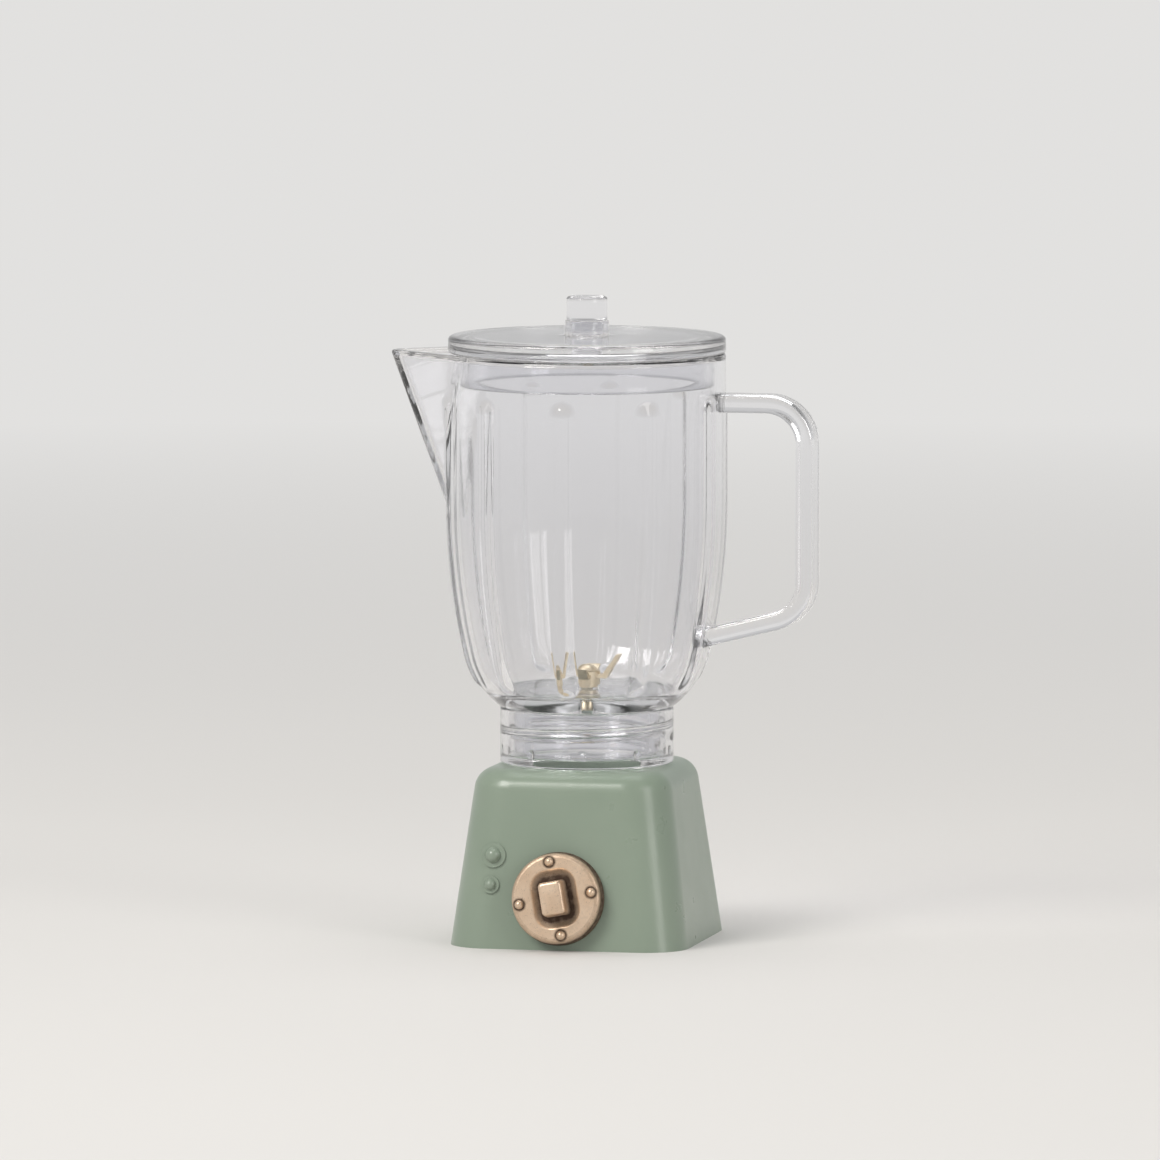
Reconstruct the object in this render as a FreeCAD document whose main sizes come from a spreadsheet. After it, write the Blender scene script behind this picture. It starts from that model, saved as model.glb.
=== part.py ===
import FreeCAD, Part
import math
import os
import Sketcher
from FreeCAD import Placement, Rotation, Vector

os.makedirs("parts", exist_ok=True)

# Toy blender for a doll's kitchen. Millimetres. Origin at the middle of the underside of the base,
# +Z up, the dial faces -Y, the spout points to -X and the handle to +X.
document = FreeCAD.newDocument("toy_blender")

# Driving dimensions
sheet = document.addObject("Spreadsheet::Sheet", "Sizes")
SIZES = {
    # base housing
    "base_height": 20.0,
    "base_side": 27.4,
    "deck_side": 22.3,
    "base_corner": 5.0,
    "deck_round": 2.6,
    "shell_wall": 1.3,
    "deck_thickness": 1.3,
    "rim_width": 0.9,
    # seat for the jug in the deck
    "seat_radius": 6.2,
    "seat_depth": 3.0,
    "seat_wall": 1.1,
    # bottom cover and its screws
    "cover_thickness": 1.4,
    "cover_gap": 0.12,
    "post_spacing": 14.8,
    "post_radius": 1.7,
    "screw_radius": 0.65,
    "screw_length": 6.0,
    "screw_head_radius": 1.25,
    "screw_head_height": 0.75,
    "screw_sink": 0.15,
    "screw_slot": 0.3,
    "screw_gap": 0.02,
    "screw_tip_radius": 0.15,
    # raised dots beside the dial
    "upper_dot_place": 8.0,
    "upper_dot_height": 10.5,
    "upper_dot_radius": 0.9,
    "upper_pad_radius": 1.4,
    "lower_dot_place": 8.25,
    "lower_dot_height": 7.2,
    "lower_dot_radius": 0.68,
    "lower_pad_radius": 1.0,
    "dot_pad_thickness": 0.22,
    # dial
    "dial_place": 0.3,
    "dial_height": 5.8,
    "dial_foot_radius": 5.3,
    "dial_face_radius": 5.05,
    "dial_thickness": 2.0,
    "dial_round": 0.55,
    "dial_turn": 11.0,
    "dial_gap": 0.1,
    "well_width": 5.3,
    "well_length": 6.7,
    "well_corner": 1.9,
    "well_depth": 0.5,
    "well_round": 0.4,
    "grip_width": 3.0,
    "grip_length": 4.1,
    "grip_height": 2.1,
    "grip_corner": 0.45,
    "grip_draft": 4.0,
    "stud_circle": 4.2,
    "stud_radius": 0.55,
    "stud_sink": 0.11,
    "stem_radius": 1.2,
    "running_gap": 0.05,
    "boss_wall": 1.0,
    "boss_length": 1.5,
    "washer_radius": 2.3,
    "washer_thickness": 0.4,
    "dial_screw_radius": 0.5,
    "dial_screw_length": 4.0,
    "dial_screw_head_radius": 1.0,
    "dial_screw_head_height": 0.7,
    # jug: a rise is a height over the deck, a drop is a depth under the jug's rim
    "jug_radius": 15.75,
    "jug_wall": 1.2,
    "rim_rise": 46.6,
    "shoulder_rise": 30.0,
    "flank_curve": 78.0,
    "flank_foot_rise": 12.45,
    "bowl_curve": 10.5,
    "floor_rise": 8.4,
    "floor_thickness": 1.2,
    # ribs on the jug
    "rib_count": 10.0,
    "rib_half_width": 1.05,
    "rib_proud": 0.35,
    "rib_top_drop": 5.75,
    "rib_end_angle": 38.0,
    "rib_shift": 2.4,
    # spout
    "spout_reach": 7.05,
    "spout_foot_drop": 19.8,
    "spout_tip_round": 2.0,
    "spout_bite": 0.3,
    "spout_wall": 1.4,
    # neck thread and collar
    "neck_radius": 8.3,
    "neck_gap": 0.3,
    "thread_pitch": 1.6,
    "thread_turns": 1.5,
    "thread_depth": 0.42,
    "thread_root": 0.75,
    "thread_crest": 0.35,
    "thread_start": 0.9,
    "thread_bite": 0.15,
    "collar_gap": 0.7,
    "collar_wall": 0.85,
    "collar_height": 6.35,
    "collar_floor": 0.9,
    "collar_round": 0.25,
    "collar_rib_count": 9.0,
    "collar_rib_width": 0.5,
    "collar_rib_height": 1.1,
    "collar_rib_depth": 0.35,
    "rest_gap": 0.05,
    "plug_gap": 0.1,
    "plug_length": 2.6,
    # handle
    "handle_width": 4.5,
    "handle_thickness": 2.0,
    "handle_reach": 10.8,
    "handle_top_drop": 5.4,
    "handle_foot_rise": 14.1,
    "handle_root": 3.6,
    "handle_slope": 14.0,
    "handle_bend": 4.5,
    "handle_round": 0.45,
    # blade and its pin
    "pin_radius": 0.7,
    "pin_depth": 2.4,
    "pin_boss_wall": 1.1,
    "pin_boss_floor": 0.55,
    "pin_head_radius": 1.25,
    "pin_head_height": 0.8,
    "blade_lift": 0.35,
    "hub_radius": 1.5,
    "hub_height": 1.6,
    "wing_width": 1.5,
    "wing_thickness": 0.45,
    "wing_flat": 2.4,
    "steep_reach": 3.95,
    "steep_rise": 2.9,
    "shallow_reach": 3.9,
    "shallow_rise": 1.3,
    # lid and filler cap
    "lid_thickness": 1.9,
    "lid_plate": 1.1,
    "lid_round": 0.5,
    "skirt_depth": 3.7,
    "skirt_gap": 0.15,
    "skirt_wall": 1.0,
    "spigot_radius": 2.5,
    "spigot_height": 1.75,
    "cap_radius": 2.32,
    "cap_height": 2.65,
    "cap_round": 0.3,
    "plug_radius": 1.7,
    "cap_plug_length": 2.6,
    "cap_gap": 0.1,
}
for row, (alias, value) in enumerate(SIZES.items(), start=1):
    sheet.set("A%d" % row, alias)
    sheet.set("B%d" % row, str(value))
    sheet.setAlias("B%d" % row, alias)
document.recompute()


class Size:
    """A number together with the sheet formula that gives it."""

    def __init__(self, number, formula):
        self.number = number
        self.formula = formula

    def __add__(self, other):
        other = as_size(other)
        return Size(self.number + other.number, "(%s + %s)" % (self.formula, other.formula))

    def __sub__(self, other):
        other = as_size(other)
        return Size(self.number - other.number, "(%s - %s)" % (self.formula, other.formula))

    def __mul__(self, other):
        other = as_size(other)
        return Size(self.number * other.number, "(%s * %s)" % (self.formula, other.formula))

    def __truediv__(self, other):
        other = as_size(other)
        return Size(self.number / other.number, "(%s / %s)" % (self.formula, other.formula))

    def __neg__(self):
        return Size(-self.number, "(-1 * %s)" % self.formula)

    def __radd__(self, other):
        return as_size(other) + self

    def __rsub__(self, other):
        return as_size(other) - self

    def __rmul__(self, other):
        return as_size(other) * self

    def __rtruediv__(self, other):
        return as_size(other) / self


def as_size(value):
    if isinstance(value, Size):
        return value
    return Size(float(value), "%.9g" % value if value >= 0 else "(0 - %.9g)" % -value)


def cell(alias):
    return Size(float(sheet.get(alias)), "Sizes." + alias)


def root(size):
    return Size(math.sqrt(size.number), "sqrt(%s)" % size.formula)


def sine(angle):
    return Size(math.sin(math.radians(angle.number)), "sin(%s)" % angle.formula)


def cosine(angle):
    return Size(math.cos(math.radians(angle.number)), "cos(%s)" % angle.formula)


def tangent(angle):
    return Size(math.tan(math.radians(angle.number)), "tan(%s)" % angle.formula)


def angle_of_tangent(ratio):
    return Size(math.degrees(math.atan(ratio.number)), "atan(%s)" % ratio.formula)


def angle_of_sine(ratio):
    return Size(math.degrees(math.asin(ratio.number)), "asin(%s)" % ratio.formula)


def bind(item, prop, size):
    item.setExpression(prop, as_size(size).formula)


# Sketch helpers
def origin_plane(body, role):
    for feature in body.Origin.OriginFeatures:
        if feature.Role == role:
            return feature
    raise ValueError("no plane " + role)


def new_body(label):
    body = document.addObject("PartDesign::Body", label)
    body.Label = label
    return body


def new_sketch(body, name, role, base=(0, 0, 0), tilt=None, spin=None):
    """A sketch on an origin plane, moved by base, leaned back by tilt or turned by spin."""
    sketch = body.newObject("Sketcher::SketchObject", name)
    sketch.AttachmentSupport = [(origin_plane(body, role), "")]
    sketch.MapMode = "FlatFace"
    numbers = [as_size(value).number for value in base]
    axis = Vector(0, 0, 1) if tilt is None else Vector(-1, 0, 0)
    angle = tilt if tilt is not None else spin
    degrees = 0.0 if angle is None else angle.number
    sketch.AttachmentOffset = Placement(Vector(*numbers), Rotation(axis, degrees))
    for letter, value in zip("xyz", base):
        if isinstance(value, Size):
            bind(sketch, "AttachmentOffset.Base." + letter, value)
    if angle is not None:
        bind(sketch, "AttachmentOffset.Rotation.Angle", angle)
    return sketch


def pin_point(sketch, geometry, end, point):
    """Fix one sketch point by its distances from the sketch's origin."""
    for axis, kind, value in ((-2, "DistanceX", point[0]), (-1, "DistanceY", point[1])):
        if not isinstance(value, Size) and value == 0:
            sketch.addConstraint(Sketcher.Constraint("PointOnObject", geometry, end, axis))
            continue
        value = as_size(value)
        index = sketch.addConstraint(Sketcher.Constraint(kind, -1, 1, geometry, end, value.number))
        bind(sketch, "Constraints[%d]" % index, value)


def arc_through(start, end, radius, left):
    """The short arc from start to end; left says whether its centre lies left of the way."""
    chord = end - start
    middle = (start + end) * 0.5
    normal = Vector(-chord.y, chord.x, 0).normalize()
    height = math.sqrt(max(radius ** 2 - (chord.Length / 2) ** 2, 0.0))
    centre = middle + normal * (height if left else -height)
    first = math.atan2(start.y - centre.y, start.x - centre.x)
    last = math.atan2(end.y - centre.y, end.x - centre.x)
    circle = Part.Circle(centre, Vector(0, 0, 1), radius)
    if left:
        return Part.ArcOfCircle(circle, first, last)
    return Part.ArcOfCircle(circle, last, first)


def draw_outline(sketch, points, arcs=None):
    """A closed outline. arcs maps a segment's number to (radius, centre is on the left)."""
    arcs = arcs or {}
    places = [Vector(as_size(x).number, as_size(y).number, 0) for x, y in points]
    ends = []
    for number, start in enumerate(places):
        end = places[(number + 1) % len(places)]
        if number in arcs:
            radius, left = arcs[number]
            geometry = sketch.addGeometry(arc_through(start, end, as_size(radius).number, left))
            ends.append((geometry, (1, 2) if left else (2, 1)))
        else:
            geometry = sketch.addGeometry(Part.LineSegment(start, end))
            ends.append((geometry, (1, 2)))
    for number, (geometry, (first, last)) in enumerate(ends):
        following, (next_first, next_last) = ends[(number + 1) % len(ends)]
        sketch.addConstraint(Sketcher.Constraint("Coincident", geometry, last, following, next_first))
        pin_point(sketch, geometry, first, points[number])
        if number in arcs:
            radius = as_size(arcs[number][0])
            index = sketch.addConstraint(Sketcher.Constraint("Radius", geometry, radius.number))
            bind(sketch, "Constraints[%d]" % index, radius)
    return sketch


def draw_circle(sketch, centre, radius):
    place = Vector(as_size(centre[0]).number, as_size(centre[1]).number, 0)
    radius = as_size(radius)
    geometry = sketch.addGeometry(Part.Circle(place, Vector(0, 0, 1), radius.number))
    pin_point(sketch, geometry, 3, centre)
    index = sketch.addConstraint(Sketcher.Constraint("Radius", geometry, radius.number))
    bind(sketch, "Constraints[%d]" % index, radius)
    return sketch


def draw_rounded_box(sketch, width, length, corner):
    """A rectangle about the sketch's origin with rounded corners."""
    x = as_size(width) / 2
    y = as_size(length) / 2
    r = as_size(corner)
    points = [
        (r - x, -y), (x - r, -y),
        (x, r - y), (x, y - r),
        (x - r, y), (r - x, y),
        (-x, y - r), (-x, r - y),
    ]
    return draw_outline(sketch, points, {number: (r, True) for number in (1, 3, 5, 7)})


# Feature helpers
def pad(body, name, sketch, length, midplane=False, reverse=False, draft=None):
    feature = body.newObject("PartDesign::Pad", name)
    feature.Profile = sketch
    feature.Length = as_size(length).number
    bind(feature, "Length", length)
    feature.Midplane = midplane
    feature.Reversed = reverse
    if draft is not None:
        bind(feature, "TaperAngle", draft)
    return feature


def pocket(body, name, sketch, length, along=False):
    """Cut against the sketch's normal, or along it."""
    feature = body.newObject("PartDesign::Pocket", name)
    feature.Profile = sketch
    feature.Length = as_size(length).number
    bind(feature, "Length", length)
    feature.Reversed = along
    return feature


def turn(body, name, sketch, cut=False):
    feature = body.newObject("PartDesign::Groove" if cut else "PartDesign::Revolution", name)
    feature.Profile = sketch
    feature.ReferenceAxis = (sketch, ["V_Axis"])
    feature.Angle = 360.0
    return feature


def loft(body, name, sketches, cut=False):
    feature = body.newObject("PartDesign::SubtractiveLoft" if cut else "PartDesign::AdditiveLoft", name)
    feature.Profile = sketches[0]
    feature.Sections = sketches[1:]
    feature.Ruled = True
    return feature


def around(body, name, features, count, angle=360.0):
    pattern = body.newObject("PartDesign::PolarPattern", name)
    pattern.Originals = features
    pattern.Axis = (origin_plane(body, "Z_Axis"), [""])
    pattern.Angle = angle
    bind(pattern, "Occurrences", count)
    pattern.Occurrences = int(round(as_size(count).number))
    body.Tip = pattern
    return pattern


def round_edges(body, name, base, radius, wanted):
    """Fillet the edges of base for which wanted(edge) holds."""
    document.recompute()
    names = ["Edge%d" % (i + 1) for i, edge in enumerate(base.Shape.Edges) if wanted(edge)]
    if not names:
        raise ValueError("no edges for " + name)
    feature = body.newObject("PartDesign::Fillet", name)
    feature.Base = (base, names)
    feature.Radius = as_size(radius).number
    bind(feature, "Radius", radius)
    return feature


def at_height(height):
    """Edges that lie flat at one height."""
    def wanted(edge):
        box = edge.BoundBox
        return abs(box.ZMin - height) < 1e-4 and abs(box.ZMax - height) < 1e-4
    return wanted


# Places worked out from the driving dimensions
base_height = cell("base_height")
shell_wall = cell("shell_wall")
rest_gap = cell("rest_gap")
lean = angle_of_tangent((cell("base_side") - cell("deck_side")) / 2 / base_height)
jug_rim = base_height + cell("rim_rise")
jug_floor = base_height + cell("floor_rise")
shoulder = base_height + cell("shoulder_rise")
spout_foot = jug_rim - cell("spout_foot_drop")
collar_foot = base_height + rest_gap
collar_top = collar_foot + cell("collar_height")
bowl_foot = collar_top + rest_gap
neck_foot = collar_foot + cell("collar_floor") + cell("neck_gap")
lid_seat = jug_rim + rest_gap
lid_top = lid_seat + cell("lid_thickness")
stem_length = cell("dial_gap") + shell_wall + cell("boss_length") + cell("dial_gap")


def half_side(height):
    """Half the housing's outer side at a height."""
    return cell("base_side") / 2 - height * (cell("base_side") - cell("deck_side")) / 2 / base_height


def on_front(place, height, out=0.0):
    """A point off the leaning front face, as x, z and distance towards the viewer."""
    out = as_size(out)
    return (place, height + out * sine(lean), half_side(height) + out * cosine(lean))


def base_housing():
    body = new_body("base_housing")
    foot = new_sketch(body, "housing_foot", "XY_Plane")
    half = half_side(as_size(0))
    draw_outline(foot, [(-half, -half), (half, -half), (half, half), (-half, half)])
    block = pad(body, "housing_block", foot, base_height, draft=-lean)
    sides = round_edges(body, "housing_corners", block, cell("base_corner"),
                        lambda edge: edge.BoundBox.ZLength > base_height.number - 1e-3)
    round_edges(body, "housing_deck_round", sides, cell("deck_round"), at_height(base_height.number))

    ceiling = base_height - cell("deck_thickness")
    hollow_foot = new_sketch(body, "hollow_foot", "XY_Plane")
    foot_side = (half_side(as_size(0)) - shell_wall) * 2
    draw_rounded_box(hollow_foot, foot_side, foot_side, cell("base_corner") - shell_wall)
    hollow_top = new_sketch(body, "hollow_top", "XY_Plane", (0, 0, ceiling))
    top_side = (half_side(ceiling) - shell_wall) * 2
    draw_rounded_box(hollow_top, top_side, top_side, cell("base_corner") - shell_wall)
    loft(body, "housing_hollow", [hollow_foot, hollow_top], cut=True)

    rebate = new_sketch(body, "cover_rebate_outline", "XY_Plane")
    rebate_side = cell("base_side") - cell("rim_width") * 2
    draw_rounded_box(rebate, rebate_side, rebate_side, cell("base_corner") - cell("rim_width"))
    pocket(body, "cover_rebate", rebate, cell("cover_thickness"), along=True)

    spread = cell("post_spacing") / 2
    post_plan = new_sketch(body, "post_plan", "XY_Plane", (0, 0, cell("cover_thickness")))
    pilot_plan = new_sketch(body, "pilot_plan", "XY_Plane", (0, 0, cell("cover_thickness")))
    for x in (-spread, spread):
        for y in (-spread, spread):
            draw_circle(post_plan, (x, y), cell("post_radius"))
            draw_circle(pilot_plan, (x, y), cell("screw_radius") + cell("screw_gap"))
    pad(body, "posts", post_plan, ceiling + cell("deck_thickness") / 2 - cell("cover_thickness"))
    pocket(body, "post_pilots", pilot_plan, cell("screw_length"), along=True)

    cup_foot = base_height - cell("seat_depth") - cell("seat_wall")
    cup_plan = new_sketch(body, "seat_cup_plan", "XY_Plane", (0, 0, cup_foot))
    draw_circle(cup_plan, (0, 0), cell("seat_radius") + cell("seat_wall"))
    pad(body, "seat_cup", cup_plan, ceiling + cell("deck_thickness") / 2 - cup_foot)
    seat_plan = new_sketch(body, "seat_plan", "XY_Plane", (0, 0, base_height))
    draw_circle(seat_plan, (0, 0), cell("seat_radius"))
    pocket(body, "seat", seat_plan, cell("seat_depth"))

    boss_start = shell_wall + cell("boss_length")
    dial_at = (-cell("dial_place"), cell("dial_height"))
    boss_plan = new_sketch(body, "boss_plan", "XZ_Plane", on_front(*dial_at, -boss_start), lean)
    draw_circle(boss_plan, (0, 0), cell("stem_radius") + cell("running_gap") + cell("boss_wall"))
    pad(body, "dial_boss", boss_plan, boss_start - shell_wall / 2)
    bore_plan = new_sketch(body, "bore_plan", "XZ_Plane", on_front(*dial_at, 0), lean)
    draw_circle(bore_plan, (0, 0), cell("stem_radius") + cell("running_gap"))
    pocket(body, "dial_bore", bore_plan, boss_start + cell("boss_wall"))

    for name in ("upper", "lower"):
        place = (-cell(name + "_dot_place"), cell(name + "_dot_height"))
        plan = new_sketch(body, name + "_pad_plan", "XZ_Plane", on_front(*place, -shell_wall / 2), lean)
        draw_circle(plan, (0, 0), cell(name + "_pad_radius"))
        pad(body, name + "_pad", plan, shell_wall / 2 + cell("dot_pad_thickness"))
        dome = body.newObject("PartDesign::AdditiveSphere", name + "_dot")
        dome.AttachmentSupport = [(origin_plane(body, "XZ_Plane"), "")]
        dome.MapMode = "FlatFace"
        bind(dome, "Radius", cell(name + "_dot_radius"))
        for letter, value in zip("xyz", on_front(*place, cell("dot_pad_thickness") / 2)):
            bind(dome, "AttachmentOffset.Base." + letter, value)
    return body


def base_cover():
    body = new_body("base_cover")
    plan = new_sketch(body, "cover_plan", "XY_Plane")
    side = cell("base_side") - (cell("rim_width") + cell("cover_gap")) * 2
    draw_rounded_box(plan, side, side, cell("base_corner") - cell("rim_width") - cell("cover_gap"))
    pad(body, "cover_plate", plan, cell("cover_thickness"))
    spread = cell("post_spacing") / 2
    holes = new_sketch(body, "cover_hole_plan", "XY_Plane")
    sinks = new_sketch(body, "cover_sink_plan", "XY_Plane")
    for x in (-spread, spread):
        for y in (-spread, spread):
            draw_circle(holes, (x, y), cell("screw_radius") + cell("running_gap"))
            draw_circle(sinks, (x, y), cell("screw_head_radius") + cell("running_gap"))
    pocket(body, "cover_holes", holes, cell("cover_thickness"), along=True)
    pocket(body, "cover_sinks", sinks, cell("screw_sink") + cell("screw_head_height"), along=True)
    return body


def part_cylinder(name, radius, height, base):
    item = document.addObject("Part::Cylinder", name)
    bind(item, "Radius", radius)
    bind(item, "Height", height)
    for letter, value in zip("xyz", base):
        bind(item, "Placement.Base." + letter, value)
    return item


def part_cut(name, base, tool):
    item = document.addObject("Part::Cut", name)
    item.Base = base
    item.Tool = tool
    return item


def part_fuse(name, shapes):
    item = document.addObject("Part::MultiFuse", name)
    item.Shapes = shapes
    return item


def cover_screws():
    """Four self-tapping screws, drawn with a plain shank and a slotted head."""
    spread = cell("post_spacing") / 2
    head_at = cell("screw_sink")
    shank_at = head_at + cell("screw_head_height")
    tip = cell("screw_radius") * 2
    reach = cell("cover_thickness") + cell("screw_length") - cell("screw_gap") - shank_at
    screws = []
    for number, (x, y) in enumerate(((-1, -1), (1, -1), (1, 1), (-1, 1)), start=1):
        place = (spread * x, spread * y)
        head = part_cylinder("screw_head_%d" % number, cell("screw_head_radius"),
                             cell("screw_head_height"), (*place, head_at))
        shank = part_cylinder("screw_shank_%d" % number, cell("screw_radius"),
                              reach - tip, (*place, shank_at))
        point = document.addObject("Part::Cone", "screw_point_%d" % number)
        bind(point, "Radius1", cell("screw_radius"))
        bind(point, "Radius2", cell("screw_tip_radius"))
        bind(point, "Height", tip)
        for letter, value in zip("xyz", (*place, shank_at + reach - tip)):
            bind(point, "Placement.Base." + letter, value)
        slot = document.addObject("Part::Box", "screw_slot_%d" % number)
        bind(slot, "Length", cell("screw_head_radius") * 2)
        bind(slot, "Width", cell("screw_slot"))
        bind(slot, "Height", cell("screw_head_height") / 2)
        corner = (place[0] - cell("screw_head_radius"), place[1] - cell("screw_slot") / 2, head_at)
        for letter, value in zip("xyz", corner):
            bind(slot, "Placement.Base." + letter, value)
        whole = part_fuse("screw_whole_%d" % number, [head, shank, point])
        screws.append(part_cut("screw_%d" % number, whole, slot))
    group = document.addObject("Part::Compound", "cover_screws")
    group.Label = "cover_screws"
    group.Links = screws
    return group


def place_on_dial_axis(item, out):
    """Stand a piece on the dial's axis, its own +Z pointing out of the front face."""
    place, height, towards = on_front(-cell("dial_place"), cell("dial_height"), out)
    upright = Size(90.0, "90 deg") - lean
    item.Placement = Placement(Vector(0, 0, 0), Rotation(Vector(1, 0, 0), upright.number))
    bind(item, "Placement.Base.x", place)
    bind(item, "Placement.Base.y", -towards)
    bind(item, "Placement.Base.z", height)
    bind(item, "Placement.Rotation.Angle", upright)


def dial():
    body = new_body("dial")
    thick = cell("dial_thickness")
    foot = cell("dial_foot_radius")
    face = cell("dial_face_radius")
    bend = cell("dial_round")
    rim = new_sketch(body, "dial_profile", "XZ_Plane")
    points = [(0, 0), (foot, 0), (face, thick - bend), (face - bend, thick), (0, thick)]
    draw_outline(rim, points, {2: (bend, True)})
    turn(body, "dial_disc", rim)
    twist = cell("dial_turn")
    well = new_sketch(body, "well_plan", "XY_Plane", (0, 0, thick), spin=twist)
    draw_rounded_box(well, cell("well_width"), cell("well_length"), cell("well_corner"))
    hollow = pocket(body, "well", well, cell("well_depth"))
    round_edges(body, "well_edge_round", hollow, cell("well_round"),
                lambda edge: abs(edge.BoundBox.ZMin - (thick.number - SIZES["well_depth"])) < 1e-4
                and edge.BoundBox.ZLength < 1e-4)
    grip = new_sketch(body, "grip_plan", "XY_Plane", (0, 0, thick - cell("well_depth")), spin=twist)
    draw_rounded_box(grip, cell("grip_width"), cell("grip_length"), cell("grip_corner"))
    block = pad(body, "grip", grip, cell("well_depth") + cell("grip_height"), draft=-cell("grip_draft"))
    round_edges(body, "grip_round", block, cell("grip_corner") / 2,
                at_height(thick.number + SIZES["grip_height"]))
    stud = body.newObject("PartDesign::AdditiveSphere", "stud")
    stud.AttachmentSupport = [(origin_plane(body, "XY_Plane"), "")]
    stud.MapMode = "FlatFace"
    bind(stud, "Radius", cell("stud_radius"))
    bind(stud, "AttachmentOffset.Base.x", cell("stud_circle") * cosine(twist))
    bind(stud, "AttachmentOffset.Base.y", cell("stud_circle") * sine(twist))
    bind(stud, "AttachmentOffset.Base.z", thick - cell("stud_sink"))
    around(body, "studs", [stud], 4)
    stem = new_sketch(body, "stem_plan", "XY_Plane")
    draw_circle(stem, (0, 0), cell("stem_radius"))
    pad(body, "stem", stem, stem_length, reverse=True)
    pilot = new_sketch(body, "stem_pilot_plan", "XY_Plane", (0, 0, -stem_length))
    draw_circle(pilot, (0, 0), cell("dial_screw_radius") + cell("screw_gap"))
    pocket(body, "stem_pilot", pilot, cell("dial_screw_length"), along=True)
    place_on_dial_axis(body, cell("dial_gap"))
    return body


def dial_washer():
    body = new_body("dial_washer")
    plan = new_sketch(body, "washer_plan", "XY_Plane")
    draw_circle(plan, (0, 0), cell("washer_radius"))
    draw_circle(plan, (0, 0), cell("dial_screw_radius") + cell("running_gap"))
    pad(body, "washer_ring", plan, cell("washer_thickness"))
    place_on_dial_axis(body, cell("dial_gap") - stem_length - cell("washer_thickness"))
    return body


def dial_screw():
    body = new_body("dial_screw")
    head = cell("dial_screw_head_height")
    radius = cell("dial_screw_radius")
    reach = head + cell("washer_thickness") + cell("dial_screw_length") - cell("screw_gap")
    profile = new_sketch(body, "dial_screw_profile", "XZ_Plane")
    points = [
        (0, 0), (cell("dial_screw_head_radius"), 0), (cell("dial_screw_head_radius"), head),
        (radius, head), (radius, reach - radius * 2), (cell("screw_tip_radius"), reach), (0, reach),
    ]
    draw_outline(profile, points)
    turn(body, "dial_screw_body", profile)
    slot = new_sketch(body, "dial_screw_slot_plan", "XY_Plane")
    draw_rounded_box(slot, cell("dial_screw_head_radius") * 3, cell("screw_slot"), cell("screw_slot") / 4)
    pocket(body, "dial_screw_slot", slot, head / 2, along=True)
    place_on_dial_axis(body, cell("dial_gap") - stem_length - cell("washer_thickness") - head)
    return body


# The jug's outer line, and lines parallel to it: an upright wall, a long flank arc and a bowl arc
flank_angle = angle_of_sine((cell("shoulder_rise") - cell("flank_foot_rise")) / cell("flank_curve"))


def flank_end(inset):
    reach = cell("flank_curve") - inset
    return (cell("jug_radius") - cell("flank_curve") + reach * cosine(flank_angle),
            shoulder - reach * sine(flank_angle))


def bowl_centre():
    x, z = flank_end(as_size(0))
    return (x - cell("bowl_curve") * cosine(flank_angle), z + cell("bowl_curve") * sine(flank_angle))


def bowl_radius_at(height, inset):
    """The bowl's radius at a height below the flank."""
    x, z = bowl_centre()
    reach = cell("bowl_curve") - inset
    return x + root(reach * reach - (z - height) * (z - height))


def draw_jug_line(sketch, inset, low, high, neck=None):
    """The solid of revolution inside the jug's outer line, set in by inset, between two heights."""
    low = as_size(low)
    points = [
        (bowl_radius_at(low, inset), low), flank_end(inset),
        (cell("jug_radius") - inset, shoulder), (cell("jug_radius") - inset, high),
        (0, high),
    ]
    arcs = {0: (cell("bowl_curve") - inset, True), 1: (cell("flank_curve") - inset, True)}
    if neck is None:
        points.append((0, low))
    else:
        radius, foot = neck
        points += [(0, foot), (radius, foot), (radius, low)]
    return draw_outline(sketch, points, arcs)


def spout_angle():
    tip = cell("spout_tip_round")
    radius = cell("jug_radius") - cell("spout_bite")
    return angle_of_sine((radius - tip) / (cell("jug_radius") + cell("spout_reach") - tip))


def draw_spout(sketch, tip_at, inset):
    """A pointed plan whose sides run to the jug's wall: tip_at is its reach from the axis."""
    angle = spout_angle()
    tip = cell("spout_tip_round") - inset
    centre = tip_at - cell("spout_tip_round")
    side = centre * sine(angle) + tip
    touch = (-(centre + tip * sine(angle)), tip * cosine(angle))
    end = (-(side * sine(angle)), side * cosine(angle))
    points = [end, touch, (touch[0], -touch[1]), (end[0], -end[1])]
    return draw_outline(sketch, points, {1: (tip, True)})


def add_thread(body, name, wall, outward, start):
    """One helical ridge on a round wall."""
    sign = 1 if outward else -1
    rootline = wall - cell("thread_bite") * sign
    crest = wall + cell("thread_depth") * sign
    half_root = cell("thread_root") / 2
    half_crest = cell("thread_crest") / 2
    profile = new_sketch(body, name + "_profile", "XZ_Plane")
    points = [
        (rootline, start - half_root), (crest, start - half_crest),
        (crest, start + half_crest), (rootline, start + half_root),
    ]
    if not outward:
        points.reverse()
    draw_outline(profile, points)
    ridge = body.newObject("PartDesign::AdditiveHelix", name)
    ridge.Profile = profile
    ridge.ReferenceAxis = (origin_plane(body, "Z_Axis"), [""])
    ridge.Mode = "pitch-turns-angle"
    bind(ridge, "Pitch", cell("thread_pitch"))
    bind(ridge, "Turns", cell("thread_turns"))
    return ridge


def draw_rib_section(sketch, out, radius, heading, axis_at):
    """A rib's round section, with the line that it swings about as the sketch's first axis."""
    draw_circle(sketch, (out * cosine(heading), out * sine(heading)), radius)
    middle = (axis_at * cosine(heading), axis_at * sine(heading))
    far = (middle[0] - sine(heading), middle[1] + cosine(heading))
    places = [Vector(x.number, y.number, 0) for x, y in (middle, far)]
    geometry = sketch.addGeometry(Part.LineSegment(*places), True)
    pin_point(sketch, geometry, 1, middle)
    pin_point(sketch, geometry, 2, far)


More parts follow.
